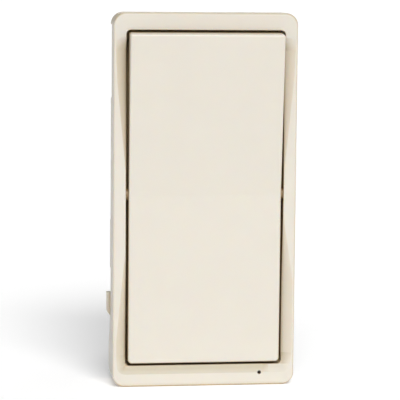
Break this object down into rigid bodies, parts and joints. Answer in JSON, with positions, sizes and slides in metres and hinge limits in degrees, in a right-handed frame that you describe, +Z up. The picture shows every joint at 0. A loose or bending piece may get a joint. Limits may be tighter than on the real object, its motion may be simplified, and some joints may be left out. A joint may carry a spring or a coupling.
{
  "type": "in-wall smart switch",
  "caption": "Rectangular rocker smart switch module in a face frame, with a spring-returned paddle over tactile switches, a relay and screw-clamp wire ports behind.",
  "frame": {"origin": "middle of the face in the plane of the two seat pads behind the face frame", "axes": "+Z up the wall, +X to the right as seen from the front, +Y into the wall; the face looks along -Y"},
  "size_m": [0.0338, 0.0377, 0.0664],
  "materials": {
    "almond_frame": "satin",
    "almond_paddle": "satin",
    "pipe_clear": "clear",
    "chassis_white": "fine texture",
    "pusher_acetal": "smooth",
    "spring_steel": "drawn wire",
    "housing_dark": "spark texture",
    "zinc_steel": "zinc plated",
    "terminal_brass": "stamped",
    "ground_green": "green dyed screw",
    "board_green": "solder mask",
    "part_black": "moulded epoxy",
    "stem_white": "smooth",
    "led_lens": "clear lens",
    "can_tin": "tinned",
    "antenna_gold": "plated copper",
    "relay_blue": "moulded cover",
    "winding_copper": "enamelled wire",
    "bobbin_nylon": "natural nylon",
    "magnet_iron": "soft iron",
    "contact_silver": "silver alloy",
    "blade_bronze": "phosphor bronze",
    "ferrite": "ferrite",
    "coil_tape": "yellow tape",
    "capacitor_sleeve": "shrink sleeve",
    "film_yellow": "boxed film",
    "varistor_blue": "epoxy dip",
    "resistor_body": "coated body"
  },
  "bodies": {
    "module": {"face_frame": "almond_frame", "light_pipe": "pipe_clear", "front_chassis": "chassis_white", "upper_return_spring": "spring_steel", "lower_return_spring": "spring_steel", "control_board": "board_green", "upper_tact_body": "part_black", "lower_tact_body": "part_black", "status_led": "led_lens", "radio_board": "board_green", "radio_shield": "can_tin", "antenna": "antenna_gold", "control_chips": "part_black", "board_header": "part_black", "header_pins": "antenna_gold", "power_board": "board_green", "bulk_capacitor": "capacitor_sleeve", "film_capacitor": "film_yellow", "varistor": "varistor_blue", "bridge_rectifier": "part_black", "fuse_resistor": "resistor_body", "transformer_core": "ferrite", "transformer_coil": "coil_tape", "relay_base": "relay_blue", "relay_cover": "relay_blue", "relay_bobbin": "bobbin_nylon", "relay_coil": "winding_copper", "relay_core": "magnet_iron", "relay_yoke": "magnet_iron", "fixed_contact": "contact_silver", "fixed_contact_post": "blade_bronze", "rear_housing": "housing_dark", "rear_cover": "housing_dark", "housing_screws": "zinc_steel", "line_terminal": "terminal_brass", "load_terminal": "terminal_brass", "neutral_terminal": "zinc_steel", "ground_terminal": "terminal_brass", "clamp_plates": "zinc_steel", "terminal_screws": "terminal_brass", "ground_screw": "ground_green"},
    "rocker": {"rocker_paddle": "almond_paddle"},
    "upper_pusher": {"upper_plunger": "pusher_acetal"},
    "lower_pusher": {"lower_plunger": "pusher_acetal"},
    "upper_stem": {"upper_tact_stem": "stem_white"},
    "lower_stem": {"lower_tact_stem": "stem_white"},
    "armature": {"relay_armature": "magnet_iron", "relay_contact_blade": "blade_bronze", "moving_contact": "contact_silver"}
  },
  "joints": [
    {"name": "rocker_hinge", "type": "hinge", "parent": "module", "child": "rocker", "pos_m": [0, -0.005, 0.00105], "axis": [-1, 0, 0], "range_deg": [-1.3, 7], "stiffness_Nm_per_rad": 0.3},
    {"name": "upper_plunger_slide", "type": "slide", "parent": "module", "child": "upper_pusher", "axis": [0, 1, 0], "range_m": [-0.00032, 0.00171], "deforming": ["upper_return_spring"]},
    {"name": "lower_plunger_slide", "type": "slide", "parent": "module", "child": "lower_pusher", "axis": [0, 1, 0], "range_m": [-0.00171, 0.00032], "deforming": ["lower_return_spring"]},
    {"name": "upper_stem_slide", "type": "slide", "parent": "module", "child": "upper_stem", "axis": [0, 1, 0], "range_m": [0, 0.00025], "stiffness_N_per_m": 1500, "springref_m": -0.0002},
    {"name": "lower_stem_slide", "type": "slide", "parent": "module", "child": "lower_stem", "axis": [0, 1, 0], "range_m": [0, 0.00025], "stiffness_N_per_m": 1500, "springref_m": -0.0002},
    {"name": "relay_armature_hinge", "type": "hinge", "parent": "module", "child": "armature", "pos_m": [-0.0072, 0.02025, 0.00937], "axis": [1, 0, 0], "range_deg": [0, 5], "stiffness_Nm_per_rad": 0.005, "springref_deg": -5.73}
  ],
  "couplings": [
    {"joint": "upper_plunger_slide", "follows": "rocker_hinge", "m_per_rad": 0.014},
    {"joint": "lower_plunger_slide", "follows": "rocker_hinge", "m_per_rad": -0.014}
  ]
}
